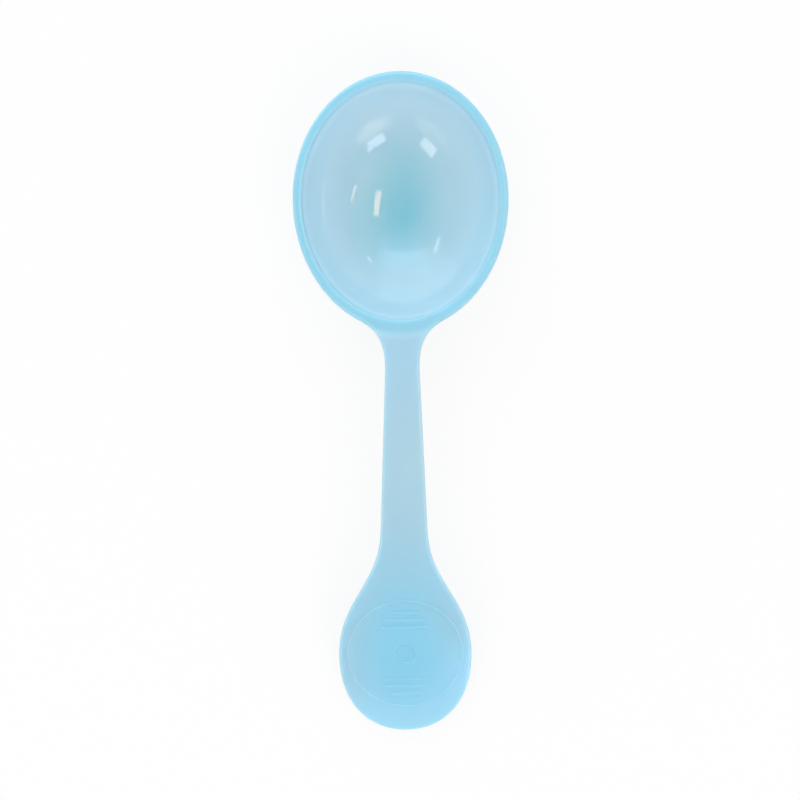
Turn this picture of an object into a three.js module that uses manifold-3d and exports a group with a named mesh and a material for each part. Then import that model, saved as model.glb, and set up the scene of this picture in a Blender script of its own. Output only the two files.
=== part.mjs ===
import * as THREE from 'three';
import { mergeVertices } from 'three/addons/utils/BufferGeometryUtils.js';
import Module from 'manifold-3d';

const wasm = await Module();
wasm.setup();

// Teaspoon moulded in one piece from translucent light blue plastic. Sizes are in millimetres.
// +Z is up. The spoon lies along Y with its bowl at +Y and its thumb paddle at -Y.
// Z = 0 is the table, which the flat under the bowl and the end of the paddle rest on.

// Bowl
const bowlHalfWidth = 16.2;
const bowlFrontLength = 19.1;
const bowlBackLength = 19.9;
const bowlInnerDepth = 9.1;
const bowlFloorThickness = 1.4;
const footHalfWidth = 2.7;

// Rim
const rimLandWidth = 1.55;
const rimOuterRadius = 0.5;
const rimInnerRadius = 0.3;
const rimBandHeight = 3.2;

// Neck, where the handle flares into the rim
const neckDistance = 6.4;
const neckHalfWidth = 2.62;
const neckThickness = 2.6;
const flareHalfWidth = 6.35;
const flareRimFullness = 0.47;
const flareNeckFullness = 0.43;
const rimToStemJoint = 1.6;

// Stem
const stemLength = 23.8;
const stemEndHalfWidth = 3.53;
const archRise = 0.4;

// Thumb paddle
const paddleHalfWidth = 10.08;
const shoulderLength = 18.6;
const shoulderStemFullness = 0.41;
const shoulderSideFullness = 0.44;
const paddleEndLength = 12.2;
const paddleSideFullness = 0.65;
const paddleTipFullness = 0.57;
const paddleThickness = 2.0;
const paddleFlatLength = 21;
const paddleTilt = THREE.MathUtils.degToRad(18);
const recessRadius = 8.7;
const recessDepth = 0.25;

// Rounding along the edges of the handle
const handleEdgeRadius = 0.7;

// Fineness of the curved faces
const turnSteps = 72;
const wallSteps = 12;
const roundSteps = 3;
const flareSteps = 8;
const stemSteps = 14;
const shoulderSteps = 12;
const paddleEndSteps = 14;
const recessSteps = 64;

// How far a cutting body reaches past the face that it cuts
const cutReach = 5;

// Places along the spoon and heights that follow from the sizes
const handleLength = neckDistance + stemLength + shoulderLength + paddleEndLength;
const overallLength = bowlFrontLength + bowlBackLength + handleLength;
const bowlY = overallLength / 2 - bowlFrontLength;
const rimBackY = bowlY - bowlBackLength;
const neckY = rimBackY - neckDistance;
const jointY = rimBackY - rimToStemJoint;
const stemEndY = neckY - stemLength;
const paddleY = stemEndY - shoulderLength;
const tipY = paddleY - paddleEndLength;
const flatY = tipY + paddleFlatLength;
const rimZ = bowlInnerDepth + bowlFloorThickness;
const bandZ = rimZ - rimBandHeight;

// The middle face of the handle lies so high at the tip that the rounded lower edge meets the table.
const roundDrop = Math.cos(paddleTilt) - Math.tan(paddleTilt) * (1 - Math.sin(paddleTilt));
const tipMiddleZ = paddleThickness / 2 - handleEdgeRadius + handleEdgeRadius * roundDrop;
const flatMiddleZ = tipMiddleZ + Math.tan(paddleTilt) * paddleFlatLength;
const neckMiddleZ = rimZ - neckThickness / 2;

// Makes a solid of a closed geometry: shared corners are merged and collapsed triangles dropped.
function solid(geometry) {
  const bare = new THREE.BufferGeometry();
  bare.setAttribute('position', geometry.getAttribute('position'));
  bare.setIndex(geometry.getIndex());
  const merged = mergeVertices(bare);
  const corners = merged.getIndex().array;
  const triVerts = [];
  for (let i = 0; i < corners.length; i += 3) {
    const [a, b, c] = corners.slice(i, i + 3);
    if (a !== b && b !== c && c !== a) triVerts.push(a, b, c);
  }
  const vertProperties = Float32Array.from(merged.getAttribute('position').array);
  const mesh = new wasm.Mesh({ numProp: 3, vertProperties, triVerts: Uint32Array.from(triVerts) });
  return new wasm.Manifold(mesh);
}

// Turns a profile of (radius, height) points about the bowl's axis and stretches it fore and aft.
function bowlBody(profile) {
  const geometry = new THREE.LatheGeometry(profile, turnSteps);
  geometry.rotateX(Math.PI / 2);
  const position = geometry.getAttribute('position');
  for (let i = 0; i < position.count; i += 1) {
    const y = position.getY(i);
    const length = y > 0 ? bowlFrontLength : bowlBackLength;
    position.setY(i, bowlY + y * length / bowlHalfWidth);
  }
  return solid(geometry);
}

// Outside of the bowl: flat foot, elliptic wall and rounded outer edge of the rim.
function bowlOutside() {
  const wallTopZ = rimZ - rimOuterRadius;
  const footAngle = Math.asin(footHalfWidth / bowlHalfWidth);
  const wallDepth = wallTopZ / Math.cos(footAngle);
  const wallStart = footAngle - Math.PI / 2;
  const wall = new THREE.EllipseCurve(0, wallTopZ, bowlHalfWidth, wallDepth, wallStart, 0);
  const edgeX = bowlHalfWidth - rimOuterRadius;
  const edge = new THREE.EllipseCurve(edgeX, wallTopZ, rimOuterRadius, rimOuterRadius, 0, Math.PI / 2);
  return bowlBody([
    new THREE.Vector2(0, 0),
    ...wall.getPoints(wallSteps),
    ...edge.getPoints(roundSteps).slice(1),
    new THREE.Vector2(0, rimZ),
  ]);
}

// Hollow of the bowl: elliptic inside that eases outward at the inner edge of the rim land.
function bowlInside() {
  const wallTopZ = rimZ - rimInnerRadius;
  const wallX = bowlHalfWidth - rimLandWidth;
  const wallDepth = bowlInnerDepth - rimInnerRadius;
  const wall = new THREE.EllipseCurve(0, wallTopZ, wallX, wallDepth, -Math.PI / 2, 0);
  const edgeX = wallX + rimInnerRadius;
  const edge = new THREE.EllipseCurve(
    edgeX, wallTopZ, rimInnerRadius, rimInnerRadius, Math.PI, Math.PI / 2, true,
  );
  return bowlBody([
    ...wall.getPoints(wallSteps),
    ...edge.getPoints(roundSteps).slice(1),
    new THREE.Vector2(edgeX, rimZ + cutReach),
    new THREE.Vector2(0, rimZ + cutReach),
  ]);
}

// Right-hand outline of the handle seen from above, from the rim to the tip.
function handleOutline() {
  const rimX = flareHalfWidth / bowlHalfWidth;
  const rimSlope = Math.sqrt(1 - rimX * rimX);
  const rimPoint = new THREE.Vector2(flareHalfWidth, bowlY - bowlBackLength * rimSlope);
  const rimHeading = new THREE.Vector2(-bowlHalfWidth * rimSlope, -bowlBackLength * rimX).normalize();
  const neck = new THREE.Vector2(neckHalfWidth, neckY);
  const stemEnd = new THREE.Vector2(stemEndHalfWidth, stemEndY);
  const side = new THREE.Vector2(paddleHalfWidth, paddleY);
  const tip = new THREE.Vector2(0, tipY);
  const stemHeading = stemEnd.clone().sub(neck).divideScalar(stemLength);
  const down = new THREE.Vector2(0, -1);
  const flareLength = rimPoint.y - neckY;
  const flare = new THREE.CubicBezierCurve(
    rimPoint,
    rimPoint.clone().addScaledVector(rimHeading, flareRimFullness * flareLength),
    neck.clone().addScaledVector(stemHeading, -flareNeckFullness * flareLength),
    neck,
  );
  const shoulder = new THREE.CubicBezierCurve(
    stemEnd,
    stemEnd.clone().addScaledVector(stemHeading, shoulderStemFullness * shoulderLength),
    side.clone().addScaledVector(down, -shoulderSideFullness * shoulderLength),
    side,
  );
  const end = new THREE.CubicBezierCurve(
    side,
    side.clone().addScaledVector(down, paddleSideFullness * paddleEndLength),
    new THREE.Vector2(paddleTipFullness * paddleHalfWidth, tipY),
    tip,
  );
  return [
    { curve: flare, steps: flareSteps },
    { curve: new THREE.LineCurve(neck, stemEnd), steps: stemSteps },
    { curve: shoulder, steps: shoulderSteps },
    { curve: end, steps: paddleEndSteps },
  ];
}

// Share of the way from the rim joint to the flat of the paddle, held between 0 and 1.
function bendShare(y) {
  return THREE.MathUtils.clamp((jointY - y) / (jointY - flatY), 0, 1);
}

// Upright thickness of the handle, easing from the neck to the paddle.
function thicknessAt(y) {
  return THREE.MathUtils.lerp(neckThickness, paddleThickness, THREE.MathUtils.smoothstep(bendShare(y), 0, 1));
}

// Height of the handle's middle face: level at the rim, arched along the stem, straight on the paddle.
function middleAt(y) {
  if (y < flatY) return tipMiddleZ + Math.tan(paddleTilt) * (y - tipY);
  const u = bendShare(y);
  const endFall = -Math.tan(paddleTilt) * (jointY - flatY);
  const fromNeck = (2 * u ** 3 - 3 * u ** 2 + 1) * neckMiddleZ;
  const toPaddle = (3 * u ** 2 - 2 * u ** 3) * flatMiddleZ + (u ** 3 - u ** 2) * endFall;
  return fromNeck + toPaddle + archRise * Math.sin(Math.PI * u) ** 2;
}

// Points up the right-hand edge at one place of the outline, and their mirror images down the left.
function handleSection(point, outward) {
  const right = [];
  for (const half of [-1, 1]) {
    for (let i = 0; i <= roundSteps; i += 1) {
      const share = half < 0 ? i / roundSteps - 1 : i / roundSteps;
      const angle = share * Math.PI / 2;
      const inset = handleEdgeRadius * (1 - Math.cos(angle));
      const x = Math.max(point.x - outward.x * inset, 0);
      const y = point.y - outward.y * inset;
      const flank = half * (thicknessAt(y) / 2 - handleEdgeRadius);
      right.push(new THREE.Vector3(x, y, middleAt(y) + flank + handleEdgeRadius * Math.sin(angle)));
    }
  }
  const left = right.map((corner) => new THREE.Vector3(-corner.x, corner.y, corner.z)).reverse();
  return [...right, ...left];
}

// Handle from inside the rim to the tip, where its two edges meet and close it.
function handleBody() {
  const sections = [];
  handleOutline().forEach(({ curve, steps }, index) => {
    for (let i = index === 0 ? 0 : 1; i <= steps; i += 1) {
      const heading = curve.getTangent(i / steps);
      sections.push(handleSection(curve.getPoint(i / steps), new THREE.Vector2(-heading.y, heading.x)));
    }
  });
  const inner = sections[0].map((corner) => new THREE.Vector3(corner.x / 2, bowlY, corner.z));
  sections.unshift(inner);
  const size = inner.length;
  const index = [];
  for (let i = 1; i < size - 1; i += 1) index.push(0, i + 1, i);
  for (let row = 0; row < sections.length - 1; row += 1) {
    for (let i = 0; i < size; i += 1) {
      const a = row * size + i;
      const b = row * size + (i + 1) % size;
      index.push(a, b, a + size, b, b + size, a + size);
    }
  }
  const geometry = new THREE.BufferGeometry().setFromPoints(sections.flat());
  geometry.setIndex(index);
  return solid(geometry);
}

// Round body that cuts the thumb recess square to the paddle's upper face.
function recessBody() {
  const height = recessDepth + cutReach;
  const geometry = new THREE.CylinderGeometry(recessRadius, recessRadius, height, recessSteps);
  geometry.rotateX(Math.PI / 2);
  geometry.translate(0, 0, height / 2 - recessDepth);
  geometry.rotateX(paddleTilt);
  geometry.translate(0, paddleY, middleAt(paddleY) + paddleThickness / 2);
  return solid(geometry);
}

// Block that holds one zone of the moulding, between two places along Y and two heights.
function zoneBlock(fromY, toY, fromZ, toZ) {
  const width = 2 * (bowlHalfWidth + paddleHalfWidth);
  const geometry = new THREE.BoxGeometry(width, toY - fromY, toZ - fromZ);
  geometry.translate(0, (fromY + toY) / 2, (fromZ + toZ) / 2);
  return solid(geometry);
}

// The whole moulding, then its zones divided at flat planes.
const moulding = bowlOutside().add(handleBody()).subtract(bowlInside()).subtract(recessBody());
const frontY = overallLength / 2 + cutReach;
const backY = tipY - cutReach;
const lowZ = -cutReach;
const highZ = rimZ + archRise + neckThickness + cutReach;
const zones = [
  { name: 'bowl_cup', block: zoneBlock(jointY, frontY, lowZ, bandZ), color: 0xaed4e6 },
  { name: 'bowl_rim', block: zoneBlock(jointY, frontY, bandZ, highZ), color: 0x9dd9f0 },
  { name: 'stem', block: zoneBlock(stemEndY, jointY, lowZ, highZ), color: 0xafd3e4 },
  { name: 'thumb_paddle', block: zoneBlock(backY, stemEndY, lowZ, highZ), color: 0x8cd1eb },
];

const spoon = new THREE.Group();
spoon.name = 'teaspoon';
for (const { name, block, color } of zones) {
  const cut = moulding.intersect(block).getMesh();
  const geometry = new THREE.BufferGeometry();
  geometry.setAttribute('position', new THREE.BufferAttribute(cut.vertProperties, cut.numProp));
  geometry.setIndex(new THREE.BufferAttribute(cut.triVerts, 1));
  geometry.computeVertexNormals();
  const material = new THREE.MeshStandardMaterial({ color, roughness: 0.22, metalness: 0 });
  const mesh = new THREE.Mesh(geometry, material);
  mesh.name = name;
  spoon.add(mesh);
}

export default spoon;
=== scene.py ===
"""Teaspoon moulded in one piece of milky light blue plastic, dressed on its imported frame.

The skin is modelled in millimetres and set to metres when it is finished. The spoon lies along Y
with its bowl at +Y and its thumb paddle at -Y. +Z is up, and Z = 0 is the table it lies on.
"""

import logging
import math
from dataclasses import dataclass
from enum import Enum
from functools import partial
from typing import Callable, Sequence

import bmesh
import bpy
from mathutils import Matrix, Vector


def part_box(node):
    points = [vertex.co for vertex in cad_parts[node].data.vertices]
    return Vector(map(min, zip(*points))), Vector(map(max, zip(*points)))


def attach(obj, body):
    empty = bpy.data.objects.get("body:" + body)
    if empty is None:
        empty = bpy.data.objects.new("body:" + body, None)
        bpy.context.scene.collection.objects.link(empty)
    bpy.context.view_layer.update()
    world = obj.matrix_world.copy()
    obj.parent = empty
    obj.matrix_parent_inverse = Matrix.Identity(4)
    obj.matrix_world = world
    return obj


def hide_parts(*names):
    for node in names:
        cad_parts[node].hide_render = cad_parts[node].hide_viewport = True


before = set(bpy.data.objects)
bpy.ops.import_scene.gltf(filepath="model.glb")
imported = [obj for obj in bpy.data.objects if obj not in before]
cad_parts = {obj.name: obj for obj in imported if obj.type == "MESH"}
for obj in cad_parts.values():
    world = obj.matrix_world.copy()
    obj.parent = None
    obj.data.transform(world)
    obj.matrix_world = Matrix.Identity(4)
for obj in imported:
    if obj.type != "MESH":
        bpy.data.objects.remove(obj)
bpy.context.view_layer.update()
LOG = logging.getLogger("teaspoon")
MM = 0.001  # metres in a millimetre
NEAR = 0.001  # millimetres within which two points are one
SLACK = 0.01  # millimetres within which a point lies on a face or a line
EDGE_TURNS = tuple(math.radians(angle) for angle in (90.0, 60.0, 30.0, 0.0))  # rows of a round edge
Pair = tuple[float, float]
Triple = tuple[float, float, float]
Socket = bpy.types.NodeSocket


class Zone(Enum):
    """Zones of the moulding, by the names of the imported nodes."""

    BOWL_CUP = "bowl_cup"
    BOWL_RIM = "bowl_rim"
    STEM = "stem"
    THUMB_PADDLE = "thumb_paddle"

    def box(self) -> tuple[Vector, Vector]:
        """Lowest and highest corner of the zone in millimetres."""
        low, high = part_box(self.value)
        return low / MM, high / MM


class Pick(Enum):
    """What is picked on the bench in edit mode."""

    POINTS = "VERT"
    EDGES = "EDGE"
    FACES = "FACE"


def smooth(share: float) -> float:
    """Ease a share of the way in and out, held between 0 and 1."""
    held = min(max(share, 0.0), 1.0)
    return held * held * (3.0 - 2.0 * held)


def linear(tint: str) -> tuple[float, float, float, float]:
    """Turn a written screen colour into the light that the shaders count in.

    Args:
        tint: six hexadecimal digits, two each for red, green and blue.

    Returns:
        Red, green, blue and a full alpha, as linear shares.
    """
    shares = [int(tint[i:i + 2], 16) / 255.0 for i in (0, 2, 4)]
    light = [s / 12.92 if s <= 0.04045 else ((s + 0.055) / 1.055) ** 2.4 for s in shares]
    return light[0], light[1], light[2], 1.0


class Bench:
    """Edit-mode work on one mesh at a time, with everything else deselected."""

    @staticmethod
    def clear() -> None:
        """Leave edit mode and deselect everything."""
        if bpy.context.object and bpy.context.object.mode != "OBJECT":
            bpy.ops.object.mode_set(mode="OBJECT")
        bpy.ops.object.select_all(action="DESELECT")

    @staticmethod
    def take(obj: bpy.types.Object) -> None:
        """Make one object the only one selected and the active one.

        Args:
            obj: the object.
        """
        Bench.clear()
        obj.select_set(True)
        bpy.context.view_layer.objects.active = obj

    @staticmethod
    def edit(obj: bpy.types.Object) -> None:
        """Take an object into edit mode with all of it selected.

        Args:
            obj: the object.
        """
        Bench.take(obj)
        bpy.ops.object.mode_set(mode="EDIT")
        bpy.ops.mesh.select_mode(type=Pick.POINTS.value)
        bpy.ops.mesh.select_all(action="SELECT")

    @staticmethod
    def named(name: str) -> bpy.types.Object:
        """Name the object that was just added.

        Args:
            name: name for the object and its mesh.

        Returns:
            The object.
        """
        obj = bpy.context.object
        obj.name = name
        obj.data.name = name
        return obj

    @staticmethod
    def pick(obj: bpy.types.Object, kind: Pick, test: Callable[..., bool]) -> None:
        """Select points, edges or faces by their place or normal.

        Args:
            obj: the object in edit mode.
            kind: what is picked.
            test: says of one point, edge or face whether it is picked.
        """
        bpy.ops.mesh.select_mode(type=kind.value)
        bpy.ops.mesh.select_all(action="DESELECT")
        mesh = bmesh.from_edit_mesh(obj.data)
        groups = {Pick.POINTS: mesh.verts, Pick.EDGES: mesh.edges, Pick.FACES: mesh.faces}
        for item in groups[kind]:
            if test(item):
                item.select_set(True)
        mesh.select_flush_mode()
        bmesh.update_edit_mesh(obj.data)

    @staticmethod
    def draw_line(name: str, places: Sequence[Vector]) -> bpy.types.Object:
        """Draw a line of points: a plane is merged to one point, which is extruded on.

        Args:
            name: the new object's name.
            places: the points of the line in order.

        Returns:
            The object, left in edit mode with all of the line selected.
        """
        Bench.clear()
        bpy.ops.mesh.primitive_plane_add(size=1.0)
        obj = Bench.named(name)
        Bench.edit(obj)
        bpy.ops.mesh.merge(type="CENTER")
        bpy.ops.transform.translate(value=places[0])
        for here, there in zip(places, places[1:]):
            bpy.ops.mesh.extrude_vertices_move(TRANSFORM_OT_translate={"value": there - here})
        bpy.ops.mesh.select_all(action="SELECT")
        return obj

    @staticmethod
    def weld(distance: float = NEAR) -> None:
        """Merge the points of the edited mesh that lie within a distance of each other."""
        bpy.ops.mesh.select_all(action="SELECT")
        bpy.ops.mesh.remove_doubles(threshold=distance)

    @staticmethod
    def turn(centre: Vector, steps: int) -> None:
        """Spin the selected line a full turn about the upright axis at centre and close its seam."""
        bpy.ops.mesh.spin(steps=steps, angle=2.0 * math.pi, center=centre, axis=(0.0, 0.0, 1.0))
        Bench.weld()

    @staticmethod
    def face_outwards() -> None:
        """Turn every face of the edited mesh outwards."""
        bpy.ops.mesh.select_all(action="SELECT")
        bpy.ops.mesh.normals_make_consistent(inside=False)

    @staticmethod
    def apply(obj: bpy.types.Object, modifier: bpy.types.Modifier) -> None:
        """Apply one modifier to an object's mesh."""
        Bench.take(obj)
        bpy.ops.object.modifier_apply(modifier=modifier.name)

    @staticmethod
    def combine(obj: bpy.types.Object, tool: bpy.types.Object, operation: str) -> None:
        """Cut or join a tool body into an object and throw the tool away.

        Args:
            obj: the object that is changed.
            tool: the body that is cut out or joined on.
            operation: DIFFERENCE or UNION.
        """
        Bench.clear()
        modifier = obj.modifiers.new(tool.name, "BOOLEAN")
        modifier.operation = operation
        modifier.solver = "EXACT"
        modifier.object = tool
        Bench.apply(obj, modifier)
        mesh = tool.data
        bpy.data.objects.remove(tool)
        bpy.data.meshes.remove(mesh)


@dataclass(frozen=True)
class Bend:
    """Cubic curve in a plane, from one point to another with a pull at each end."""

    start: Vector
    start_pull: Vector
    end_pull: Vector
    end: Vector

    def at(self, share: float) -> Vector:
        """Find a point of the curve.

        Args:
            share: share of the way along.

        Returns:
            The point.
        """
        rest = 1.0 - share
        near = self.start * rest ** 3 + self.start_pull * (3.0 * rest ** 2 * share)
        return near + self.end_pull * (3.0 * rest * share ** 2) + self.end * share ** 3

    def outward(self, share: float) -> Vector:
        """Find the direction square to the curve, to the left of its run.

        Args:
            share: share of the way along.

        Returns:
            The direction, of length 1.
        """
        rest = 1.0 - share
        run = (self.start_pull - self.start) * rest ** 2
        run += (self.end_pull - self.start_pull) * (2.0 * rest * share)
        run += (self.end - self.end_pull) * share ** 2
        run.normalize()
        return Vector((-run.y, run.x))


@dataclass
class BowlForm:
    """Oval bowl: an elliptic wall turned about an upright axis and stretched fore and aft."""

    half_width: float
    rim_z: float
    front_y: float
    front_length: float = 19.1
    back_length: float = 19.9
    inner_depth: float = 9.1
    foot_half_width: float = 2.7
    foot_edge: float = 0.3
    land_width: float = 1.55
    outer_round: float = 0.5
    inner_round: float = 0.3
    lip_start: float = 0.945
    lip_land: float = 1.15
    lip_lean: float = 0.6
    lip_roll: float = 0.3
    lip_rows: int = 7
    cap_radius: float = 5.6
    neck_drops: tuple[float, ...] = (1.1, 1.6, 2.1, 2.5, 2.9)
    neck_columns: int = 6
    turn_steps: int = 96
    wall_rows: int = 12
    hollow_rows: int = 16
    cap_span: int = 24

    @classmethod
    def from_frame(cls) -> "BowlForm":
        """Take the bowl's width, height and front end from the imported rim."""
        _, high = Zone.BOWL_RIM.box()
        return cls(half_width=high.x, rim_z=high.z, front_y=high.y)

    @property
    def middle_y(self) -> float:
        """Place of the bowl's upright axis along the spoon."""
        return self.front_y - self.front_length

    @property
    def neck_angle(self) -> float:
        """Half the angle of the opening that the handle grows from."""
        return 2.0 * math.pi * self.neck_columns / self.turn_steps

    def round_place(self, place: Vector) -> Vector:
        """Place seen from the axis before the bowl was stretched fore and aft."""
        length = self.front_length if place.y > self.middle_y else self.back_length
        return Vector((place.x, (place.y - self.middle_y) * self.half_width / length))

    def wall_radius(self, z: float) -> float:
        """Work out the radius of the outer wall.

        Args:
            z: height over the table.

        Returns:
            The wall's radius at that height.
        """
        top = self.rim_z - self.outer_round
        depth = top / math.cos(math.asin(self.foot_half_width / self.half_width))
        return self.half_width * math.sqrt(1.0 - ((top - z) / depth) ** 2)

    def hollow_z(self, radius: float) -> float:
        """Work out the height of the hollow's surface.

        Args:
            radius: distance from the bowl's axis before the stretch.

        Returns:
            The surface's height over the table.
        """
        top = self.rim_z - self.inner_round
        share = radius / (self.half_width - self.land_width)
        return top - (self.inner_depth - self.inner_round) * math.sqrt(1.0 - share ** 2)

    def hollow_rows_up(self) -> list[Pair]:
        """Lay out the rows from the hollow's bottom cap up over the lip to the land.

        Returns:
            Radius and height of each row.
        """
        edge = self.half_width - self.land_width
        low, high = (math.acos(radius / edge) for radius in (self.cap_radius, self.lip_start * edge))
        rows = []
        for i in range(self.hollow_rows + 1):
            radius = edge * math.cos(low + (high - low) * i / self.hollow_rows)
            rows.append((radius, self.hollow_z(radius)))
        lip = self.lip()
        return rows + [tuple(lip.at(i / self.lip_rows)) for i in range(1, self.lip_rows + 1)]

    def lip(self) -> Bend:
        """Draw the curve by which the wall leans out and rolls over onto the land.

        Returns:
            The curve, in radius and height.
        """
        slope_step = 0.05
        radius = self.lip_start * (self.half_width - self.land_width)
        start = Vector((radius, self.hollow_z(radius)))
        below = Vector((radius - slope_step, self.hollow_z(radius - slope_step)))
        end = Vector((self.half_width - self.lip_land, self.rim_z))
        lean = (start - below).normalized() * (self.lip_lean * (end - start).length)
        return Bend(start, start + lean, end - Vector((self.lip_roll, 0.0)), end)

    def wall_rows_down(self) -> list[Pair]:
        """Lay out the rows from the rim's land down to the foot.

        Returns:
            Radius and height of each row.
        """
        rows = []
        for turn in EDGE_TURNS:
            radius = self.half_width - self.outer_round * (1.0 - math.cos(turn))
            rows.append((radius, self.rim_z - self.outer_round * (1.0 - math.sin(turn))))
        for drop in self.neck_drops:
            rows.append((self.wall_radius(self.rim_z - drop), self.rim_z - drop))
        start = math.acos(rows[-1][0] / self.half_width)
        end = math.acos(self.foot_half_width / self.half_width)
        top = self.rim_z - self.outer_round
        for i in range(1, self.wall_rows + 1):
            turn = start + (end - start) * i / self.wall_rows
            rows.append((self.half_width * math.cos(turn), top * (1.0 - math.sin(turn) / math.sin(end))))
        rows.append((self.foot_half_width - self.foot_edge, 0.0))
        return rows

    def neck_rows(self) -> list[Pair]:
        """Inset from the rim's outline and height of the rows down the side of the neck's opening."""
        rows = self.wall_rows_down()[:len(EDGE_TURNS) + len(self.neck_drops)]
        return [(self.half_width - radius, z) for radius, z in rows]

    def turn_up(self, name: str) -> bpy.types.Object:
        """Spin the bowl's profile from its back, stretch it and close its hollow and its foot.

        Args:
            name: the new object's name.

        Returns:
            The closed bowl, left in edit mode.
        """
        rows = self.hollow_rows_up() + self.wall_rows_down()
        line = [Vector((0.0, self.middle_y - radius, z)) for radius, z in rows]
        obj = Bench.draw_line(name, line)
        Bench.turn(Vector((0.0, self.middle_y, 0.0)), self.turn_steps)
        for length, side in ((self.front_length, 1.0), (self.back_length, -1.0)):
            Bench.pick(obj, Pick.POINTS, lambda v: side * (v.co.y - self.middle_y) > NEAR)
            bpy.ops.transform.resize(
                value=(1.0, length / self.half_width, 1.0), center_override=(0.0, self.middle_y, 0.0),
            )
        for z in (rows[0][1], rows[-1][1]):
            Bench.pick(obj, Pick.EDGES, lambda e: e.is_boundary and abs(e.verts[0].co.z - z) < NEAR)
            bpy.ops.mesh.fill_grid(span=self.cap_span)
        self.settle_cap(obj)
        Bench.face_outwards()
        return obj

    def settle_cap(self, obj: bpy.types.Object) -> None:
        """Let the grid that closes the hollow sink to the hollow's own curve.

        Args:
            obj: the bowl in edit mode.
        """
        rim = self.hollow_z(self.cap_radius)
        mesh = bmesh.from_edit_mesh(obj.data)
        for point in mesh.verts:
            radius = self.round_place(point.co).length
            if radius < self.cap_radius - SLACK and abs(point.co.z - rim) < SLACK:
                point.co.z = self.hollow_z(radius)
        bmesh.update_edit_mesh(obj.data)

    def open_neck(self, obj: bpy.types.Object) -> list[Vector]:
        """Take away the patch of wall under the rim's land that the handle grows from.

        Args:
            obj: the closed bowl in edit mode.

        Returns:
            The opening's points in order: along the top to -X, down, along the bottom and up.
        """
        low = self.rim_z - self.neck_drops[-1]
        land = self.half_width - self.outer_round

        def on_neck(face: bmesh.types.BMFace) -> bool:
            """Say whether a face of the outer wall lies in the patch.

            Args:
                face: the face.

            Returns:
                True inside the patch.
            """
            middle = face.calc_center_median()
            place = self.round_place(middle)
            angle = abs(math.atan2(place.x, -place.y))
            return angle < self.neck_angle and middle.z > low and place.length > land + SLACK

        Bench.pick(obj, Pick.FACES, on_neck)
        bpy.ops.mesh.delete(type="FACE")
        Bench.pick(obj, Pick.EDGES, lambda e: e.is_boundary)
        mesh = bmesh.from_edit_mesh(obj.data)
        here = max((v for v in mesh.verts if v.select), key=lambda v: (round(v.co.z, 3), v.co.x))
        ring = [here]
        while True:
            beside = [e.other_vert(here) for e in here.link_edges if e.is_boundary]
            fresh = [v for v in beside if v not in ring]
            if not fresh:
                return [v.co.copy() for v in ring]
            here = max(fresh, key=lambda v: v.co.z)
            ring.append(here)


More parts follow.
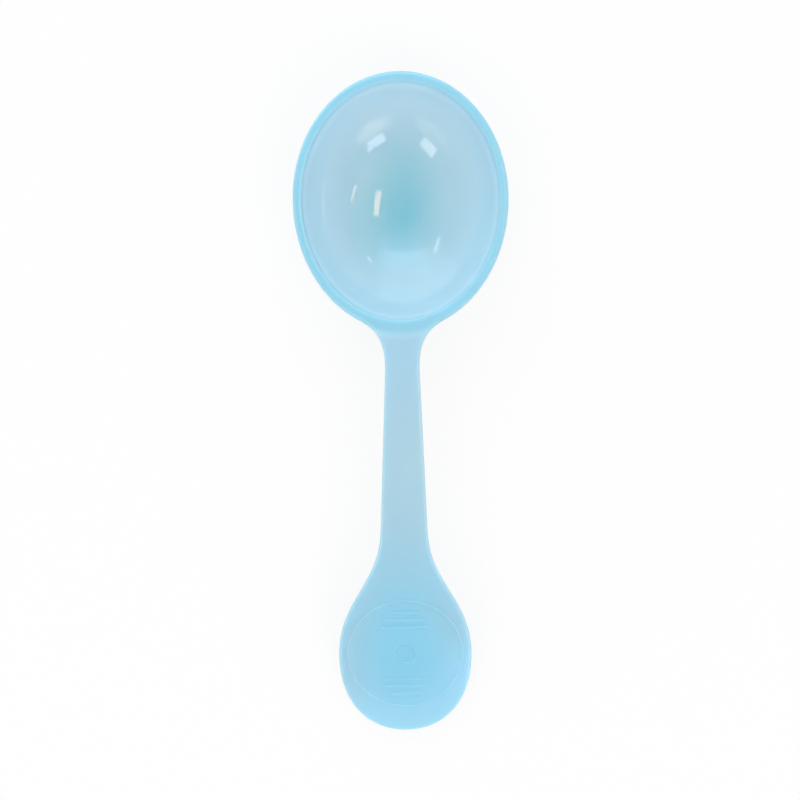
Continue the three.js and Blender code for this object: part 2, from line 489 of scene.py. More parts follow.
@dataclass
class HandleForm:
    """Handle drawn out of the bowl's rim: flare, slim arched stem and wide paddle."""

    bowl: BowlForm
    joint_y: float
    stem_end_y: float
    tip_y: float
    neck_y: float = 4.6
    neck_half_width: float = 2.62
    neck_thickness: float = 2.6
    flare_rim_fullness: float = 0.47
    flare_neck_fullness: float = 0.43
    flare_blend: float = 0.6
    stem_end_half_width: float = 3.53
    arch_rise: float = 0.4
    paddle_half_width: float = 10.08
    paddle_y: float = -37.8
    shoulder_stem_fullness: float = 0.41
    shoulder_side_fullness: float = 0.44
    paddle_side_fullness: float = 0.65
    paddle_tip_fullness: float = 0.57
    paddle_thickness: float = 2.0
    paddle_flat_length: float = 21.0
    paddle_tilt: float = math.radians(18.0)
    edge_round: float = 0.7
    top_edge_round: float = 0.35
    flare_steps: int = 9
    stem_steps: int = 14
    shoulder_steps: int = 14
    end_steps: int = 18

    @classmethod
    def from_frame(cls, bowl: BowlForm) -> "HandleForm":
        """Take the handle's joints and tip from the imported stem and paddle.

        Args:
            bowl: the bowl that the handle grows from.

        Returns:
            The handle.
        """
        stem_low, stem_high = Zone.STEM.box()
        paddle_low, _ = Zone.THUMB_PADDLE.box()
        return cls(bowl=bowl, joint_y=stem_high.y, stem_end_y=stem_low.y, tip_y=paddle_low.y)

    @property
    def flat_y(self) -> float:
        """Place along the spoon where the paddle's flat slope starts."""
        return self.tip_y + self.paddle_flat_length

    def thickness(self, y: float) -> float:
        """Upright thickness at one place along the spoon."""
        share = smooth(self.bend_share(y))
        return self.neck_thickness + (self.paddle_thickness - self.neck_thickness) * share

    def bend_share(self, y: float) -> float:
        """Share of the way from the rim joint to the flat of the paddle."""
        return min(max((self.joint_y - y) / (self.joint_y - self.flat_y), 0.0), 1.0)

    def middle(self, y: float) -> float:
        """Work out the height of the handle's middle face: level at the rim, arched, then straight down.

        Args:
            y: place along the spoon.

        Returns:
            The middle face's height over the table.
        """
        tilt = self.paddle_tilt
        drop = math.cos(tilt) - math.tan(tilt) * (1.0 - math.sin(tilt))
        tip_z = self.paddle_thickness / 2.0 - self.edge_round * (1.0 - drop)
        if y < self.flat_y:
            return tip_z + math.tan(tilt) * (y - self.tip_y)
        share = self.bend_share(y)
        fall = -math.tan(tilt) * (self.joint_y - self.flat_y)
        flat_z = tip_z + math.tan(tilt) * self.paddle_flat_length
        neck_z = self.bowl.rim_z - self.neck_thickness / 2.0
        level = (2.0 * share ** 3 - 3.0 * share ** 2 + 1.0) * neck_z
        sloped = (3.0 * share ** 2 - 2.0 * share ** 3) * flat_z + (share ** 3 - share ** 2) * fall
        return level + sloped + self.arch_rise * math.sin(math.pi * share) ** 2

    def outline(self) -> list[tuple[Bend, int]]:
        """Draw the right-hand outline from the rim to the tip.

        Returns:
            The bends of the flare, the stem, the shoulder and the end, each with its steps.
        """
        bowl = self.bowl
        across, along = math.sin(bowl.neck_angle), math.cos(bowl.neck_angle)
        rim = Vector((bowl.half_width * across, bowl.middle_y - bowl.back_length * along))
        rim_run = Vector((-bowl.half_width * along, -bowl.back_length * across)).normalized()
        neck = Vector((self.neck_half_width, self.neck_y))
        stem_end = Vector((self.stem_end_half_width, self.stem_end_y))
        side = Vector((self.paddle_half_width, self.paddle_y))
        tip = Vector((0.0, self.tip_y))
        stem_run = (stem_end - neck) / (self.neck_y - self.stem_end_y)
        down = Vector((0.0, -1.0))
        flare = rim.y - self.neck_y
        shoulder = self.stem_end_y - self.paddle_y
        end = self.paddle_y - self.tip_y
        tip_pull = Vector((self.paddle_tip_fullness * self.paddle_half_width, self.tip_y))
        return [
            (Bend(
                rim, rim + rim_run * (self.flare_rim_fullness * flare),
                neck - stem_run * (self.flare_neck_fullness * flare), neck,
            ), self.flare_steps),
            (Bend(neck, neck.lerp(stem_end, 1.0 / 3.0), neck.lerp(stem_end, 2.0 / 3.0), stem_end),
             self.stem_steps),
            (Bend(
                stem_end, stem_end + stem_run * (self.shoulder_stem_fullness * shoulder),
                side - down * (self.shoulder_side_fullness * shoulder), side,
            ), self.shoulder_steps),
            (Bend(side, side + down * (self.paddle_side_fullness * end), tip_pull, tip), self.end_steps),
        ]

    def edge_rows(self, y: float) -> list[Pair]:
        """Lay out the rows down the rounded edge.

        Args:
            y: place along the spoon.

        Returns:
            Inset from the outline, and height over the middle, of each row.
        """
        halves = []
        for half, edge in ((1.0, self.top_edge_round), (-1.0, self.edge_round)):
            flank = self.thickness(y) / 2.0 - edge
            halves.append([
                (edge * (1.0 - math.cos(turn)), half * (flank + edge * math.sin(turn)))
                for turn in EDGE_TURNS
            ])
        upper, lower = halves
        return upper + [(0.0, 0.0)] + lower[::-1]

    def flare_rows(self, y: float, share: float) -> list[Pair]:
        """Lay out the rows down the edge of the flare, from the bowl's wall to the handle's edge.

        Args:
            y: place along the spoon.
            share: share of the way along the flare.

        Returns:
            Inset from the outline, and height over the middle, of each row.
        """
        formed = smooth(share / self.flare_blend)
        level = self.middle(self.joint_y)
        rows = []
        for (wall_inset, wall_z), (inset, rise) in zip(self.bowl.neck_rows(), self.edge_rows(y)):
            wall_rise = wall_z - level
            rows.append((
                wall_inset + (inset - wall_inset) * formed, wall_rise + (rise - wall_rise) * formed,
            ))
        return rows

    def section(self, point: Vector, outward: Vector, rows: Sequence[Pair],
                bows: Sequence[float]) -> list[Vector]:
        """Lay out the ring of points round the handle at one place of its outline.

        Args:
            point: place of the right-hand outline seen from above.
            outward: direction square to the outline.
            rows: inset from the outline, and height over the middle, of each row down the edge.
            bows: how far each point across the top and back lies behind the row's ends.

        Returns:
            The ring in the opening's order: across the top to -X, down, across the back and up.
        """
        right = []
        for inset, rise in rows:
            x, y = point - outward * inset
            right.append(Vector((max(x, 0.0), y, self.middle(y) + rise)))
        left = [Vector((-place.x, place.y, place.z)) for place in right]
        last = len(bows) - 1
        top, back = [
            [Vector((end.x * (1.0 - 2.0 * i / last), end.y - bow, end.z)) for i, bow in enumerate(bows)]
            for end in (right[0], right[-1])
        ]
        return top + left[1:-1] + back[::-1] + right[-2:0:-1]

    @staticmethod
    def extrude_ring(obj: bpy.types.Object, ring: Sequence[Triple],
                     places: Sequence[Vector]) -> list[Triple]:
        """Extrude the selected ring by one step and set its new points on their places.

        Args:
            obj: the object in edit mode.
            ring: where the ring's points lie, in order.
            places: where the new points go, in the same order.

        Returns:
            Where the new points lie as the mesh holds them, in order.
        """
        bpy.ops.mesh.extrude_edges_move()
        mesh = bmesh.from_edit_mesh(obj.data)
        fresh = {tuple(v.co): v for v in mesh.verts if v.select}
        moved = [fresh[place] for place in ring]
        for point, place in zip(moved, places):
            point.co = place
        held = [tuple(point.co) for point in moved]
        bmesh.update_edit_mesh(obj.data)
        return held

    def draw_out(self, obj: bpy.types.Object, opening: Sequence[Vector]) -> None:
        """Extrude the opening's ring from station to station to the tip and close it there.

        Args:
            obj: the bowl in edit mode, with the opening's edges selected.
            opening: the opening's points in order.
        """
        ring = [tuple(place) for place in opening]
        columns = 2 * self.bowl.neck_columns
        bows = [opening[0].y - place.y for place in opening[:columns + 1]]
        for number, (bend, steps) in enumerate(self.outline()):
            on_flare = number == 0
            for i in range(1, steps + 1):
                share = i / steps
                here = bend.at(share)
                rows = self.flare_rows(here.y, share) if on_flare else self.edge_rows(here.y)
                stay = (1.0 - share) ** 2 if on_flare else 0.0
                places = self.section(here, bend.outward(share), rows, [stay * bow for bow in bows])
                ring = self.extrude_ring(obj, ring, places)
        Bench.weld()
        Bench.face_outwards()


@dataclass
class ThumbRecess:
    """Shallow round recess in the paddle: a thin bead round it, a gate mark and grip ridges in it.

    Each pair of ridges has its distance from the middle and its length. A knee gives the share of a
    slope's run, and of its depth, at which the slope bends.
    """

    handle: HandleForm
    radius: float = 8.7
    depth: float = 0.08
    slope: float = 1.0
    slope_knee: Pair = (0.6, 0.7)
    bead_half_width: float = 0.15
    bead_rise: float = 0.08
    bead_foot: float = 0.12
    bead_steps: int = 16
    brim_width: float = 0.45
    brim_rise: float = 0.056
    gate_radius: float = 1.5
    gate_depth: float = 0.14
    gate_slope: float = 0.25
    gate_knee: Pair = (0.4, 0.8)
    reach: float = 3.0
    turn_steps: int = 128
    ridge_width: float = 0.5
    ridge_rise: float = 0.075
    ridge_round: float = 0.9
    ridge_round_steps: int = 3
    ridge_steps: int = 24
    ridges: tuple[Pair, ...] = ((4.3, 7.6), (5.5, 6.4), (6.7, 4.6))
    weld_distance: float = 0.004
    shortest_edge: float = 0.002

    @property
    def middle(self) -> Vector:
        """Point of the paddle's upper face that the recess is centred on."""
        y = self.handle.paddle_y
        return Vector((0.0, y, self.handle.middle(y) + self.handle.paddle_thickness / 2.0))

    def lay_on_paddle(self, obj: bpy.types.Object) -> None:
        """Tip a body that stands on the table's plane over onto the paddle's upper face.

        Args:
            obj: the body.
        """
        Bench.take(obj)
        obj.rotation_euler = (self.handle.paddle_tilt, 0.0, 0.0)
        obj.location = self.middle
        bpy.ops.object.transform_apply(location=True, rotation=True, scale=True)

    def cutter(self) -> bpy.types.Object:
        """Turn the body that cuts the recess: gate mark, flat floor and a soft slope up to the bead.

        Returns:
            The closed cutting body, in its place on the paddle.
        """
        floor, gate, edge = -self.depth, self.gate_radius, self.radius
        gate_run, gate_share = self.gate_knee
        slope_run, slope_share = self.slope_knee
        rows = [
            (0.0, floor - self.gate_depth),
            (gate - self.gate_slope, floor - self.gate_depth),
            (gate - gate_run * self.gate_slope, floor - self.gate_depth * gate_share),
            (gate, floor),
            (edge - self.slope, floor),
            (edge - slope_run * self.slope, slope_share * floor),
            (edge - self.bead_half_width, self.bead_foot * floor),
            (edge + self.brim_width, self.brim_rise),
            (edge + self.brim_width, self.reach),
            (0.0, self.reach),
        ]
        obj = Bench.draw_line("recess_cutter", [Vector((0.0, -radius, z)) for radius, z in rows])
        Bench.turn(Vector((0.0, 0.0, 0.0)), self.turn_steps)
        Bench.face_outwards()
        self.lay_on_paddle(obj)
        return obj

    def bead(self) -> bpy.types.Object:
        """Model the thin raised ring round the recess.

        Returns:
            The ring, in its place on the paddle.
        """
        Bench.clear()
        bpy.ops.mesh.primitive_torus_add(
            major_radius=self.radius, minor_radius=self.bead_half_width,
            major_segments=self.turn_steps, minor_segments=self.bead_steps,
        )
        obj = Bench.named("recess_bead")
        Bench.edit(obj)
        bpy.ops.transform.resize(value=(1.0, 1.0, self.bead_rise / self.bead_half_width))
        self.lay_on_paddle(obj)
        return obj

    def ridge(self, length: float, y: float) -> bpy.types.Object:
        """Model one grip ridge on the recess floor: a bar with round ends and a rounded back.

        Args:
            length: length of the ridge across the paddle.
            y: distance of the ridge from the middle of the recess.

        Returns:
            The ridge, in its place on the paddle.
        """
        Bench.clear()
        bpy.ops.mesh.primitive_cylinder_add(
            vertices=self.ridge_steps, radius=self.ridge_width / 2.0, depth=1.0,
        )
        obj = Bench.named("grip_ridge")
        Bench.edit(obj)
        for side in (1.0, -1.0):
            Bench.pick(obj, Pick.POINTS, lambda v: side * v.co.x > NEAR)
            bpy.ops.transform.translate(value=(side * (length - self.ridge_width) / 2.0, 0.0, 0.0))
        bpy.ops.mesh.select_all(action="SELECT")
        bpy.ops.transform.resize(value=(1.0, 1.0, 2.0 * self.ridge_rise))
        bpy.ops.transform.translate(value=(0.0, y, -self.depth))
        Bench.pick(obj, Pick.EDGES, lambda e: all(v.co.z > -self.depth + SLACK for v in e.verts))
        bpy.ops.mesh.bevel(offset=self.ridge_round * self.ridge_rise, segments=self.ridge_round_steps)
        Bench.face_outwards()
        self.lay_on_paddle(obj)
        return obj

    def cut(self, skin: bpy.types.Object) -> None:
        """Cut the recess into the skin and raise its bead and its grip ridges.

        Args:
            skin: the finished outer form of the spoon.
        """
        Bench.combine(skin, self.cutter(), "DIFFERENCE")
        Bench.combine(skin, self.bead(), "UNION")
        ridges = [self.ridge(length, side * y) for side in (1.0, -1.0) for y, length in self.ridges]
        Bench.take(ridges[0])
        for ridge in ridges:
            ridge.select_set(True)
        bpy.ops.object.join()
        Bench.combine(skin, ridges[0], "UNION")
        Bench.edit(skin)
        Bench.weld(self.weld_distance)
        bpy.ops.mesh.dissolve_degenerate(threshold=self.shortest_edge)
        Bench.clear()


class NodeDesk:
    """Lays out the nodes of one finish and wires them."""

    def __init__(self, tree: bpy.types.NodeTree) -> None:
        """Start on an empty tree."""
        self.tree = tree
        tree.nodes.clear()

    def add(self, kind: str, **settings: object) -> bpy.types.Node:
        """Add one node.

        Args:
            kind: the node's type.
            settings: the node's own options.

        Returns:
            The new node.
        """
        node = self.tree.nodes.new(kind)
        for name, value in settings.items():
            setattr(node, name, value)
        return node

    def feed(self, socket: Socket, value: object) -> None:
        """Wire a socket into another, or write a plain value on it.

        Args:
            socket: the input that is fed.
            value: the output that feeds it, or the value.
        """
        if isinstance(value, Socket):
            self.tree.links.new(value, socket)
        else:
            socket.default_value = value

    def math(self, operation: str, *values: object) -> Socket:
        """Work out one sum.

        Args:
            operation: name of the sum.
            values: sockets or numbers that go into it.

        Returns:
            The socket with the result.
        """
        node = self.add("ShaderNodeMath", operation=operation)
        for socket, value in zip(node.inputs, values):
            self.feed(socket, value)
        return node.outputs[0]

    def fade(self, value: object, start: float, end: float) -> Socket:
        """Ease from 0 to 1 along a value.

        Args:
            value: what the fade follows.
            start: the value at which the fade is 0.
            end: the value at which it is 1, above or below start.

        Returns:
            The socket with the fade.
        """
        node = self.add("ShaderNodeMapRange", interpolation_type="SMOOTHSTEP")
        for name, given in (("Value", value), ("From Min", start), ("From Max", end)):
            self.feed(node.inputs[name], given)
        return node.outputs["Result"]

    def mix(self, share: object, first: object, second: object) -> Socket:
        """Mix two colours.

        Args:
            share: how much of the second colour shows, from 0 to 1.
            first: the colour below.
            second: the colour laid over it.

        Returns:
            The socket with the mixed colour.
        """
        node = self.add("ShaderNodeMix", data_type="RGBA")
        for index, value in ((0, share), (6, first), (7, second)):
            self.feed(node.inputs[index], value)
        return node.outputs[2]

    def parts(self, vector: Socket) -> tuple[Socket, ...]:
        """Part a vector.

        Args:
            vector: the vector.

        Returns:
            The sockets with its X, Y and Z.
        """
        node = self.add("ShaderNodeSeparateXYZ")
        self.feed(node.inputs[0], vector)
        return tuple(node.outputs)

    def distance(self, across: object, along: object) -> Socket:
        """Measure the distance from a middle.

        Args:
            across: distance across.
            along: distance along.

        Returns:
            The socket with the distance.
        """
        joined = self.add("ShaderNodeCombineXYZ")
        self.feed(joined.inputs["X"], across)
        self.feed(joined.inputs["Y"], along)
        node = self.add("ShaderNodeVectorMath", operation="LENGTH")
        self.feed(node.inputs[0], joined.outputs[0])
        return node.outputs["Value"]

    def stretched(self, value: object, ahead: float, behind: float) -> Socket:
        """Measure a distance in one length ahead of the middle and in another behind it.

        Args:
            value: distance from the middle, positive ahead.
            ahead: length that counts as 1 ahead of the middle.
            behind: length that counts as 1 behind it.

        Returns:
            The socket with the measure, negative behind the middle.
        """
        over = self.math("DIVIDE", self.math("MAXIMUM", value, 0.0), ahead)
        under = self.math("DIVIDE", self.math("MINIMUM", value, 0.0), behind)
        return self.math("ADD", over, under)

    def cloud(self, place: Socket, fineness: float, detail: float, grain: float = 0.55) -> Socket:
        """Lay a cloudy pattern that is about 0.5 on average.

        Args:
            place: where the pattern is read.
            fineness: how many of its spots lie in a millimetre.
            detail: how many finer patterns are laid over it.
            grain: how strong each finer pattern is beside the last.

        Returns:
            The socket with the pattern.
        """
        node = self.add("ShaderNodeTexNoise")
        settings = {"Vector": place, "Scale": fineness, "Detail": detail, "Roughness": grain}
        for name, value in settings.items():
            self.feed(node.inputs[name], value)
        return node.outputs["Fac"]


@dataclass(frozen=True)
class Band:
    """Tint that eases in along one measure of place."""

    tint: str
    start: float
    end: float

    def lay(self, desk: NodeDesk, below: object, measure: Socket) -> Socket:
        """Lay the band over the colour below it."""
        return desk.mix(desk.fade(measure, self.start, self.end), below, linear(self.tint))


@dataclass(frozen=True)
class PaintedShadePatch:
    """Oval patch of painted shade: a deeper tint with soft edges, about a place along the spoon."""

    tint: str
    back: float
    half_width: float
    ahead: float
    behind: float
    start: float = 1.0
    end: float = 0.0
    aside: float = 0.0
    lean: float = 0.0

    def lay(self, desk: NodeDesk, below: object, x: Socket,
            ahead: Socket) -> Socket:
        """Lay the patch over the colour below it.

        Args:
            desk: the finish's nodes.
            below: the colour below.
            x: place across the spoon.
            ahead: distance along the spoon from the place that the patch belongs to.

        Returns:
            The socket with the mixed colour.
        """
        from_middle = desk.math("ADD", ahead, self.back)
        shift = desk.math("MULTIPLY_ADD", from_middle, self.lean, self.aside)
        across = desk.math("DIVIDE", desk.math("ADD", x, shift), self.half_width)
        run = desk.distance(across, desk.stretched(from_middle, self.ahead, self.behind))
        return desk.mix(desk.fade(run, self.start, self.end), below, linear(self.tint))


@dataclass(frozen=True)
class MilkyBlue:
    """Glossy, translucent light blue plastic, deeper along the rim, with painted shade near the table
    and painted light up the walls, on the lip and at the paddle's tip.

    Bands on the bowl and the neck follow the share of the way from the bowl's axis to the rim's outline,
    and bands on the stem and the paddle follow Y. The hollow is polished, the rim and the handle satin.
    """

    bowl: BowlForm
    handle: HandleForm
    wall_low: str = "B4D8E4"
    # Painted light: the upper walls of the hollow are painted paler, and the lip palest, to lift the
    # shade on the steep walls.
    upper_wall_light: Band = Band("C0E1EE", 0.5, 0.9)
    lip: Band = Band("C8E6F3", 0.86, 0.9)
    neck: Band = Band("A8D2E5", 1.0, 1.08)
    stem: Band = Band("ABD1DF", 8.0, -6.0)
    # Painted shade: the handle is painted deeper from the stem down to the paddle, as it comes near the
    # table and its shadow.
    paddle_side: Band = Band("A2CFE2", -8.0, -32.0)
    # Painted light: the paddle's tip is painted lighter, more so towards +X where the light falls;
    # tip_light_lean slants the band for that.
    paddle_tip: Band = Band("A2DAF1", -36.0, -46.0)
    tip_light_lean: float = -0.5
    # Painted shade: the paddle's middle, nearest the table, is painted deeper for the table's shadow
    # seen through the plastic.
    paddle: PaintedShadePatch = PaintedShadePatch("8BD1E9", back=1.0, half_width=13.0, ahead=24.0, behind=14.0,
                                  start=0.9, end=0.1)
    # Painted shade: the bowl's bottom, where it rests on the table, is painted deep blue-green for the
    # table's shadow seen through the plastic.
    bowl_bottom_shade: PaintedShadePatch = PaintedShadePatch("86C9D9", back=1.7, half_width=9.6, ahead=15.5, behind=10.5,
                                aside=0.6, lean=-0.05)
    rim: str = "94D0E4"
    rim_inner_fade: Pair = (0.896, 0.932)
    rim_outer_fade: Pair = (1.08, 0.98)
    outside: str = "A3D3E6"
    outside_fade: Pair = (1.04, 0.99)
    outward_fade: Pair = (0.3, 0.9)
    downward_fade: Pair = (0.1, -0.3)
    cloud_fineness: float = 0.14
    cloud_detail: float = 3.0
    cloud_share: float = 0.05
    polished_roughness: float = 0.03
    satin_roughness: float = 0.22
    satin_fade: Pair = (0.88, 0.92)
    wear_fineness: float = 0.9
    wear_detail: float = 4.0
    wear_share: float = 0.02
    refraction: float = 1.49
    depth_of_light: float = 1.2 * MM
    wave_fineness: float = 0.35
    wave_detail: float = 2.0
    wave_strength: float = 0.06
    wave_height: float = 0.1 * MM

    def material(self) -> bpy.types.Material:
        """Make the finish.

        Returns:
            The material, coloured by the place on the spoon in millimetres.
        """
        material = bpy.data.materials.new("milky_blue_plastic")
        material.use_nodes = True
        desk = NodeDesk(material.node_tree)
        scaled = desk.add("ShaderNodeMapping")
        desk.feed(scaled.inputs["Vector"], desk.add("ShaderNodeTexCoord").outputs["Object"])
        desk.feed(scaled.inputs["Scale"], (1.0 / MM, 1.0 / MM, 1.0 / MM))
        place = scaled.outputs["Vector"]
        shader = desk.add("ShaderNodeBsdfPrincipled")
        ring = self.colour(desk, shader, place)
        self.surface(desk, shader, place, ring)
        output = desk.add("ShaderNodeOutputMaterial")
        desk.feed(output.inputs["Surface"], shader.outputs["BSDF"])
        return material

    def colour(self, desk: NodeDesk, shader: bpy.types.Node,
               place: Socket) -> Socket:
        """Wire the colour: painted light high up the walls, on the lip and at the paddle's tip, deeper
        along the rim, and painted shade of the table in the bowl's bottom, down the handle and on the
        paddle.

        Args:
            desk: the finish's nodes.
            shader: the shader that takes the colour.
            place: place on the spoon in millimetres.

        Returns:
            Distance from the bowl's axis as a share of the way to the rim's outline.
        """
        x, y, _ = desk.parts(place)
        from_axis = desk.math("SUBTRACT", y, self.bowl.middle_y)
        across = desk.math("DIVIDE", x, self.bowl.half_width)
        along = desk.stretched(from_axis, self.bowl.front_length, self.bowl.back_length)
        ring = desk.distance(across, along)
        # Measure for the painted light at the paddle's tip, slanted to reach further up on the +X side.
        tip_light_measure = desk.math("MULTIPLY_ADD", x, self.tip_light_lean, y)
        tint = linear(self.wall_low)
        # The upper-wall and lip bands are painted light; the neck band is the neck's own deeper tint.
        for band in (self.upper_wall_light, self.lip, self.neck):
            tint = band.lay(desk, tint, ring)
        # After the stem's own tint, paddle_side lays painted shade that deepens as the handle nears the
        # table.
        for band in (self.stem, self.paddle_side):
            tint = band.lay(desk, tint, y)
        # Painted light: a lighter paddle tip.
        tint = self.paddle_tip.lay(desk, tint, tip_light_measure)
        # Painted shade of the table under the paddle's middle.
        tint = self.paddle.lay(desk, tint, x, desk.math("SUBTRACT", y, self.handle.paddle_y))
        # Painted shade where the bowl's bottom rests on the table.
        tint = self.bowl_bottom_shade.lay(desk, tint, x, from_axis)
        inner, outer = desk.fade(ring, *self.rim_inner_fade), desk.fade(ring, *self.rim_outer_fade)
        tint = desk.mix(desk.math("MULTIPLY", inner, outer), tint, linear(self.rim))
        tint = desk.mix(self.on_outside(desk, across, along, ring), tint, linear(self.outside))
        cloud = desk.cloud(place, self.cloud_fineness, self.cloud_detail)
        shade = desk.add("ShaderNodeHueSaturation")
        desk.feed(shade.inputs["Color"], tint)
        value = desk.math("MULTIPLY_ADD", cloud, self.cloud_share, 1.0 - self.cloud_share / 2.0)
        desk.feed(shade.inputs["Value"], value)
        desk.feed(shader.inputs["Base Color"], shade.outputs["Color"])
        return ring

    def on_outside(self, desk: NodeDesk, across: Socket, along: Socket,
                   ring: Socket) -> Socket:
        """Tell the bowl's outer wall and underside by the way they face.

        Args:
            desk: the finish's nodes.
            across: place across the bowl as a share of its half width.
            along: place along the bowl as a share of its length ahead of or behind the axis.
            ring: distance from the bowl's axis as a share of the way to the rim's outline.

        Returns:
            Share that is 1 on the outside of the bowl.
        """
        facing_x, facing_y, facing_z = desk.parts(desk.add("ShaderNodeNewGeometry").outputs["Normal"])
        lengthways = desk.math("MULTIPLY", facing_y, along)
        outwards = desk.fade(desk.math("MULTIPLY_ADD", facing_x, across, lengthways), *self.outward_fade)
        downwards = desk.fade(facing_z, *self.downward_fade)
        outer_side = desk.math("MAXIMUM", outwards, downwards)
        return desk.math("MULTIPLY", outer_side, desk.fade(ring, *self.outside_fade))

    def surface(self, desk: NodeDesk, shader: bpy.types.Node, place: Socket,
                ring: Socket) -> None:
        """Set the gloss, the light that wanders inside and the faint waviness of a moulded skin.

        Args:
            desk: the finish's nodes.
            shader: the shader that takes the surface.
            place: place on the spoon in millimetres.
            ring: distance from the bowl's axis as a share of the way to the rim's outline.
        """
        off_hollow = desk.fade(ring, *self.satin_fade)
        spread = self.satin_roughness - self.polished_roughness
        smoothest = self.polished_roughness - self.wear_share / 2.0
        gloss = desk.math("MULTIPLY_ADD", off_hollow, spread, smoothest)
        wear = desk.cloud(place, self.wear_fineness, self.wear_detail)
        desk.feed(shader.inputs["Roughness"], desk.math("MULTIPLY_ADD", wear, self.wear_share, gloss))
        desk.feed(shader.inputs["IOR"], self.refraction)
        desk.feed(shader.inputs["Subsurface Weight"], 1.0)
        desk.feed(shader.inputs["Subsurface Radius"], (1.0, 1.0, 1.0))
        desk.feed(shader.inputs["Subsurface Scale"], self.depth_of_light)
        bump = desk.add("ShaderNodeBump")
        desk.feed(bump.inputs["Strength"], self.wave_strength)
        desk.feed(bump.inputs["Distance"], self.wave_height)
        desk.feed(bump.inputs["Height"], desk.cloud(place, self.wave_fineness, self.wave_detail))
        desk.feed(shader.inputs["Normal"], bump.outputs["Normal"])


class LampOutline(Enum):
    """Outlines of a lamp's bright face."""

    OBLONG = "RECTANGLE"
    OVAL = "ELLIPSE"


class LampTint(Enum):
    """Tints of the studio's light, as shares of red, green and blue."""

    WHITE = (1.0, 1.0, 1.0)
    LILAC = (0.97, 0.92, 1.0)
    ROSE = (1.0, 0.82, 0.78)
    PEACH = (1.0, 0.7, 0.55)
    PALE_PEACH = (1.0, 0.75, 0.6)
    YELLOW = (1.0, 0.65, 0.36)
    ORANGE = (1.0, 0.56, 0.2)
    AMBER = (1.0, 0.5, 0.15)
    SKY = (0.72, 0.9, 1.0)
    BLUE = (0.45, 0.65, 1.0)


@dataclass(frozen=True)
class Lamp:
    """One soft lamp of the studio, in metres and degrees.

    Its watts are what each square metre of its span takes for a brightness of 1.
    """

    name: str
    place: Triple
    size: Pair
    brightness: float
    tint: LampTint = LampTint.WHITE
    turn: Triple = (0.0, 0.0, 0.0)
    mirrored_only: bool = False
    outline: LampOutline = LampOutline.OBLONG
    watts: float = 4.0

    def hang(self) -> None:
        """Hang the lamp out of the camera's own sight."""
        Bench.clear()
        turn = [math.radians(angle) for angle in self.turn]
        bpy.ops.object.light_add(type="AREA", location=self.place, rotation=turn)
        lamp = bpy.context.object
        lamp.name = self.name
        lamp.data.shape = self.outline.value
        lamp.data.size, lamp.data.size_y = self.size
        lamp.data.energy = self.watts * self.brightness * self.size[0] * self.size[1]
        lamp.data.color = self.tint.value
        lamp.visible_camera = False
        lamp.visible_diffuse = not self.mirrored_only


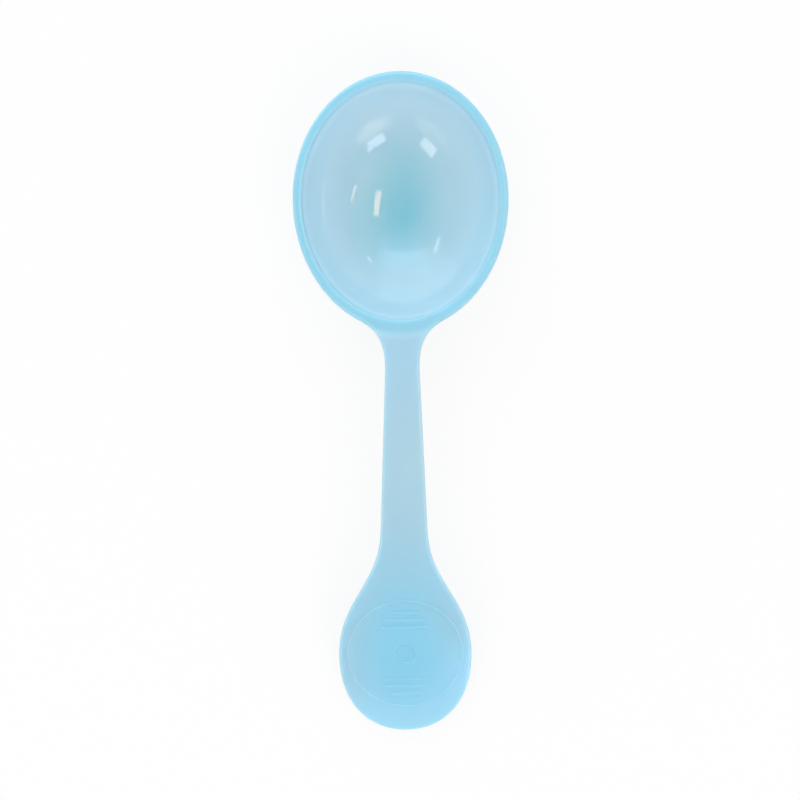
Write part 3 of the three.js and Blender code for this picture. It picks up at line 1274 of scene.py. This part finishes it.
@dataclass
class Studio:
    """Pale table, soft room light and the camera straight above.

    Each gleam strip has its height, its span upwards, its width and its brightness.
    """

    camera_place: Triple = (-0.00041, 0.000715, 0.32)
    camera_turn: float = -0.61
    lens: float = 93.24
    nearest_sight: float = 0.01
    room: float = 0.768
    table_size: float = 3.0
    table_drop: float = 0.05 * MM
    table_grey: float = 0.9
    table_glow: float = 0.85
    gleam_y: float = 0.44
    gleam_strips: tuple[tuple[float, float, float, float], ...] = (
        (1.09, 0.22, 0.42, 0.45),
        (0.87, 0.22, 0.46, 0.95),
        (0.68, 0.16, 0.5, 1.7),
        (0.51, 0.18, 0.5, 1.2),
        (0.31, 0.22, 0.5, 0.5),
    )

    @staticmethod
    def skylights() -> list[Lamp]:
        """Choose the lamps that light the spoon.

        Returns:
            The two skylights, the glows beside them and the cool window.
        """
        glow = partial(Lamp, outline=LampOutline.OVAL)
        return [
            Lamp("left_skylight", (0.2, -0.27, 0.5), (0.155, 0.105), 4.2, LampTint.LILAC,
                 (0.0, 0.0, 24.0)),
            Lamp("right_skylight", (-0.228, -0.228, 0.5), (0.13, 0.112), 4.3, LampTint.ROSE,
                 (0.0, 0.0, -45.0)),
            glow("left_glow", (0.31, -0.5, 0.5), (0.54, 0.48), 0.5, LampTint.PEACH),
            glow("left_inner_glow", (0.305, -0.47, 0.49), (0.4, 0.36), 0.5, LampTint.PEACH),
            glow("left_glow_core", (0.3, -0.44, 0.48), (0.28, 0.26), 0.8, LampTint.PEACH),
            glow("right_glow", (-0.36, -0.46, 0.49), (0.4, 0.36), 0.8, LampTint.PALE_PEACH),
            Lamp("cool_window", (-0.15, 0.45, 0.38), (0.6, 0.76), 0.9, LampTint.SKY, (-90.0, 0.0, 0.0)),
        ]

    @staticmethod
    def mirrored_lamps() -> list[Lamp]:
        """Choose the lamps that only mirror in the spoon.

        Returns:
            The warm tubes with their halos, the side strip and the two panes.
        """
        mirror = partial(Lamp, mirrored_only=True)
        halo = partial(mirror, outline=LampOutline.OVAL)
        return [
            mirror("warm_tube", (0.146, 0.078, 0.5), (0.038, 0.108), 7.2, LampTint.ORANGE,
                   (0.0, 0.0, -12.0)),
            mirror("far_warm_tube", (0.362, 0.036, 0.5), (0.024, 0.1), 6.5, LampTint.YELLOW,
                   (0.0, 0.0, -24.0)),
            halo("warm_halo", (0.184, 0.057, 0.51), (0.22, 0.32), 0.35, LampTint.AMBER),
            halo("wide_warm_halo", (0.19, 0.055, 0.52), (0.4, 0.5), 0.35, LampTint.AMBER),
            mirror("side_strip", (0.47, 0.114, 0.115), (0.024, 0.2), 2.1, turn=(0.0, 90.0, 0.0)),
            mirror("left_pane", (0.278, 0.415, 0.5), (0.034, 0.048), 3.4, turn=(0.0, 0.0, 20.0)),
            mirror("right_pane", (-0.287, 0.308, 0.5), (0.04, 0.1), 2.6, turn=(0.0, 0.0, -8.0)),
        ]

    def gleam(self) -> list[Lamp]:
        """Choose the strips that mirror as one soft gleam in the bowl.

        Returns:
            The strips, each with its own brightness.
        """
        return [
            Lamp("gleam_strip", (0.0, self.gleam_y, height), (width, span), brightness, LampTint.BLUE,
                 (-90.0, 0.0, 0.0), mirrored_only=True)
            for height, span, width, brightness in self.gleam_strips
        ]

    def lay_table(self) -> None:
        """Lay the pale table top, which the camera sees near white and which keeps the shadow."""
        Bench.clear()
        bpy.ops.mesh.primitive_plane_add(size=self.table_size, location=(0.0, 0.0, -self.table_drop))
        table = Bench.named("table_top")
        material = bpy.data.materials.new("pale_table")
        material.use_nodes = True
        desk = NodeDesk(material.node_tree)
        paint = desk.add("ShaderNodeBsdfDiffuse")
        desk.feed(paint.inputs["Color"], (self.table_grey, self.table_grey, self.table_grey, 1.0))
        glow = desk.add("ShaderNodeEmission")
        desk.feed(glow.inputs["Strength"], 1.0)
        mixed = desk.add("ShaderNodeMixShader")
        desk.feed(mixed.inputs[0], desk.math("MULTIPLY", self.seen_rays(desk), self.table_glow))
        desk.feed(mixed.inputs[1], paint.outputs["BSDF"])
        desk.feed(mixed.inputs[2], glow.outputs["Emission"])
        output = desk.add("ShaderNodeOutputMaterial")
        desk.feed(output.inputs["Surface"], mixed.outputs["Shader"])
        table.data.materials.append(material)

    @staticmethod
    def seen_rays(desk: NodeDesk) -> Socket:
        """Tell the rays that show what they meet from those that only carry light.

        Args:
            desk: the nodes that need to know.

        Returns:
            Share that is 1 for what the camera, a reflection or a clear body shows.
        """
        path = desk.add("ShaderNodeLightPath")
        seen = desk.math("MAXIMUM", path.outputs["Is Camera Ray"], path.outputs["Is Glossy Ray"])
        return desk.math("MAXIMUM", seen, path.outputs["Is Transmission Ray"])

    def light_room(self) -> int:
        """Fill the room with even light, which shows as white, and hang the lamps.

        Returns:
            How many lamps hang in the room.
        """
        world = bpy.data.worlds.new("pale_room")
        bpy.context.scene.world = world
        world.use_nodes = True
        desk = NodeDesk(world.node_tree)
        sky = desk.add("ShaderNodeBackground")
        shown = desk.math("MULTIPLY_ADD", self.seen_rays(desk), 1.0 - self.room, self.room)
        desk.feed(sky.inputs["Strength"], shown)
        desk.feed(sky.inputs["Color"], (1.0, 1.0, 1.0, 1.0))
        output = desk.add("ShaderNodeOutputWorld")
        desk.feed(output.inputs["Surface"], sky.outputs["Background"])
        lamps = self.skylights() + self.mirrored_lamps() + self.gleam()
        for lamp in lamps:
            lamp.hang()
        return len(lamps)

    def set_camera(self) -> None:
        """Set the camera straight above the spoon, turned a little as in the photograph."""
        Bench.clear()
        bpy.ops.object.camera_add(
            location=self.camera_place, rotation=(0.0, 0.0, math.radians(self.camera_turn)),
        )
        camera = bpy.context.object
        camera.name = "overhead_camera"
        camera.data.lens = self.lens
        camera.data.clip_start = self.nearest_sight
        bpy.context.scene.camera = camera
        bpy.context.scene.view_settings.view_transform = "Standard"


@dataclass
class Teaspoon:
    """The whole moulding: one skin from the bowl to the tip of the paddle."""

    bowl: BowlForm
    handle: HandleForm
    recess: ThumbRecess
    smooth_angle: float = 25.0

    @classmethod
    def from_frame(cls) -> "Teaspoon":
        """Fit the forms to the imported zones.

        Returns:
            The spoon, ready to be built.
        """
        bowl = BowlForm.from_frame()
        handle = HandleForm.from_frame(bowl)
        return cls(bowl=bowl, handle=handle, recess=ThumbRecess(handle))

    def build(self) -> bpy.types.Object:
        """Model the skin.

        Returns:
            The skin in metres, at the origin.
        """
        skin = self.bowl.turn_up("spoon_skin")
        self.handle.draw_out(skin, self.bowl.open_neck(skin))
        Bench.clear()
        softer = skin.modifiers.new("soft_skin", "SUBSURF")
        softer.levels = softer.render_levels = 1
        Bench.apply(skin, softer)
        self.recess.cut(skin)
        Bench.take(skin)
        skin.scale = (MM, MM, MM)
        bpy.ops.object.transform_apply(location=False, rotation=False, scale=True)
        bpy.ops.object.shade_smooth_by_angle(angle=math.radians(self.smooth_angle))
        even = skin.modifiers.new("even_shading", "WEIGHTED_NORMAL")
        even.keep_sharp = True
        Bench.apply(skin, even)
        return skin

    def dress(self, skin: bpy.types.Object) -> None:
        """Give the skin its finish and its place on the frame.

        Args:
            skin: the finished skin.
        """
        skin.data.materials.clear()
        skin.data.materials.append(MilkyBlue(self.bowl, self.handle).material())
        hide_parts(*(zone.value for zone in Zone))
        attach(skin, "root")


def main() -> None:
    """Build the teaspoon and its studio, and report each piece."""
    logging.basicConfig(level=logging.INFO)
    spoon = Teaspoon.from_frame()
    skin = spoon.build()
    spoon.dress(skin)
    LOG.info("%s: %d faces", skin.name, len(skin.data.polygons))
    studio = Studio()
    studio.lay_table()
    lamp_count = studio.light_room()
    studio.set_camera()
    LOG.info("studio: %d lamps", lamp_count)


if __name__ == "__main__":
    main()
